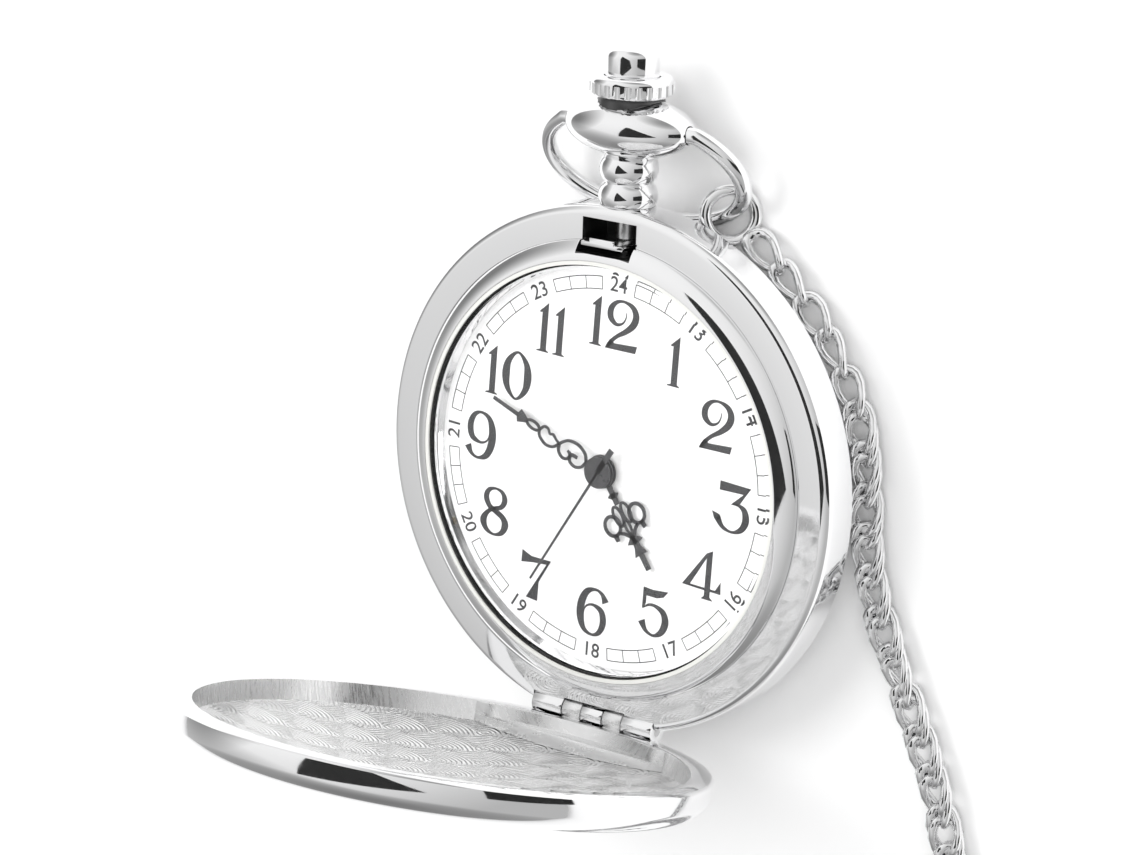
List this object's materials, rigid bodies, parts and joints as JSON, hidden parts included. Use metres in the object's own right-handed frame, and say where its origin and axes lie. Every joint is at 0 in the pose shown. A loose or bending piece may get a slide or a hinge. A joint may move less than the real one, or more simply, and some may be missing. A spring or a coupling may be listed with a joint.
{
  "type": "pocket watch",
  "caption": "Hunter-case quartz pocket watch with a sprung front cover, crown with push button, bow, and a chain with a clasp.",
  "frame": {"origin": "centre of the flat of the case back, on the surface the watch lies on", "axes": "+Z out through the crystal, +Y towards the pendant at twelve, +X towards three"},
  "size_m": [0.0601, 0.1184, 0.0532],
  "materials": {
    "silver_plate": "polished",
    "chain_steel": "polished",
    "steel": "satin",
    "brass": "satin",
    "nickel_plate": "satin",
    "black_lacquer": "gloss",
    "dial_silver": "satin",
    "crystal_glass": "clear",
    "gasket_rubber": "matte",
    "holder_plastic": "matte",
    "board_green": "gloss",
    "chip_black": "gloss",
    "copper_wire": "gloss"
  },
  "bodies": {
    "case": {"case_band": "silver_plate", "case_back": "silver_plate", "back_gasket": "gasket_rubber", "bezel": "silver_plate", "crystal": "crystal_glass", "crystal_gasket": "gasket_rubber", "dial_ring": "dial_silver", "dial": "dial_silver", "movement_holder": "holder_plastic", "main_plate": "nickel_plate", "train_bridge": "nickel_plate", "bridge_screws": "steel", "circuit_board": "board_green", "chip": "chip_black", "quartz_can": "steel", "stator": "steel", "coil_core": "steel", "coil_winding": "copper_wire", "battery": "steel", "battery_strap": "steel", "case_hinge": "silver_plate", "hinge_pin": "steel", "lift_spring": "steel", "pendant": "silver_plate", "pendant_tube": "steel", "button_spring": "steel"},
    "cover": {"cover_shell": "silver_plate", "cover_hinge": "silver_plate", "cover_catch": "silver_plate"},
    "bow": {"bow": "silver_plate"},
    "ring": {"jump_ring": "chain_steel"},
    "chain": {"chain": "chain_steel", "chain_coil": "chain_steel", "end_ring": "chain_steel"},
    "clasp": {"clasp_body": "chain_steel", "clasp_pin": "steel"},
    "clasp_gate": {"clasp_lever": "chain_steel"},
    "seconds": {"second_wheel": "brass", "second_hand": "black_lacquer"},
    "third": {"third_wheel": "brass"},
    "minutes": {"centre_wheel": "brass", "minute_hand": "black_lacquer"},
    "fifth": {"fifth_wheel": "brass"},
    "rotor": {"rotor": "steel"},
    "motion": {"minute_wheel": "brass"},
    "hours": {"hour_wheel": "brass", "hour_hand": "black_lacquer"},
    "setting": {"setting_wheel": "brass"},
    "keyless": {"setting_lever": "steel"},
    "crown": {"crown_ring": "silver_plate", "stem": "steel", "sliding_pinion": "steel"},
    "button": {"push_button": "silver_plate"},
    "plunger": {"plunger": "steel"},
    "latch": {"latch": "silver_plate"}
  },
  "joints": [
    {"name": "cover_hinge", "type": "hinge", "parent": "case", "child": "cover", "pos_m": [0, -0.0226, 0.008], "axis": [1, 0, 0], "range_deg": [-77.4, 0], "stiffness_Nm_per_rad": 0.005, "springref_deg": 28.65},
    {"name": "bow_swing", "type": "hinge", "parent": "case", "child": "bow", "pos_m": [0, 0.0302, 0.0061], "axis": [1, 0, 0], "range_deg": [0, 265]},
    {"name": "ring_swing", "type": "hinge", "parent": "bow", "child": "ring", "pos_m": [0.00744, 0.02295, 0.00173], "axis": [0.8463, 0.4562, 0.2752], "range_deg": [0, 40]},
    {"name": "chain_swing", "type": "hinge", "parent": "ring", "child": "chain", "pos_m": [0.00784, 0.02295, 0.00189], "axis": [0, 0, 1], "range_deg": [0, 35]},
    {"name": "clasp_swing", "type": "hinge", "parent": "chain", "child": "clasp", "pos_m": [0.0077, -0.0643, 0.0012], "axis": [0, 0, 1], "range_deg": [-20, 20]},
    {"name": "clasp_gate_hinge", "type": "hinge", "parent": "clasp", "child": "clasp_gate", "pos_m": [0.00947, -0.06126, 0.0009], "axis": [0, 0, 1], "range_deg": [-15, 0], "stiffness_Nm_per_rad": 0.002, "springref_deg": 34.38},
    {"name": "seconds_turn", "type": "hinge", "parent": "case", "child": "seconds", "pos_m": [0, 0, 0.005], "axis": [0, 0, 1], "continuous": true},
    {"name": "third_turn", "type": "hinge", "parent": "case", "child": "third", "pos_m": [0.00338, -0.00123, 0.005], "axis": [0, 0, 1], "continuous": true},
    {"name": "minutes_turn", "type": "hinge", "parent": "case", "child": "minutes", "pos_m": [0, 0, 0.005], "axis": [0, 0, 1], "continuous": true},
    {"name": "fifth_turn", "type": "hinge", "parent": "case", "child": "fifth", "pos_m": [-0.00312, 0.0018, 0.005], "axis": [0, 0, 1], "continuous": true},
    {"name": "rotor_turn", "type": "hinge", "parent": "case", "child": "rotor", "pos_m": [-0.00334, 0.00431, 0.005], "axis": [0, 0, 1], "continuous": true},
    {"name": "motion_turn", "type": "hinge", "parent": "case", "child": "motion", "pos_m": [0.0015, 0.0026, 0.005], "axis": [0, 0, 1], "continuous": true},
    {"name": "hours_turn", "type": "hinge", "parent": "case", "child": "hours", "pos_m": [0, 0, 0.005], "axis": [0, 0, 1], "continuous": true},
    {"name": "setting_turn", "type": "hinge", "parent": "case", "child": "setting", "pos_m": [0.00215, 0.00629, 0.005], "axis": [0, 0, 1], "continuous": true},
    {"name": "crown_pull", "type": "slide", "parent": "case", "child": "keyless", "axis": [0, 1, 0], "range_m": [0, 0.001]},
    {"name": "crown_turn", "type": "hinge", "parent": "keyless", "child": "crown", "pos_m": [0, 0.033, 0.0061], "axis": [0, 1, 0], "continuous": true},
    {"name": "button_press", "type": "slide", "parent": "crown", "child": "button", "axis": [0, -1, 0], "range_m": [0, 0.0006], "stiffness_N_per_m": 400, "springref_m": -0.002},
    {"name": "plunger_slide", "type": "slide", "parent": "case", "child": "plunger", "axis": [0, -1, 0], "range_m": [0, 0.0006], "deforming": ["button_spring"]},
    {"name": "latch_slide", "type": "slide", "parent": "case", "child": "latch", "axis": [0, -1, 0], "range_m": [0, 0.0006]}
  ],
  "couplings": [
    {"joint": "third_turn", "follows": "seconds_turn", "ratio": -0.125},
    {"joint": "minutes_turn", "follows": "seconds_turn", "ratio": 0.016667},
    {"joint": "motion_turn", "follows": "seconds_turn", "ratio": -0.0055556},
    {"joint": "hours_turn", "follows": "seconds_turn", "ratio": 0.0013889},
    {"joint": "setting_turn", "follows": "seconds_turn", "ratio": 0.0083333},
    {"joint": "fifth_turn", "follows": "seconds_turn", "ratio": -5},
    {"joint": "rotor_turn", "follows": "seconds_turn", "ratio": 30},
    {"joint": "plunger_slide", "follows": "button_press", "ratio": 1},
    {"joint": "latch_slide", "follows": "button_press", "ratio": 1}
  ]
}
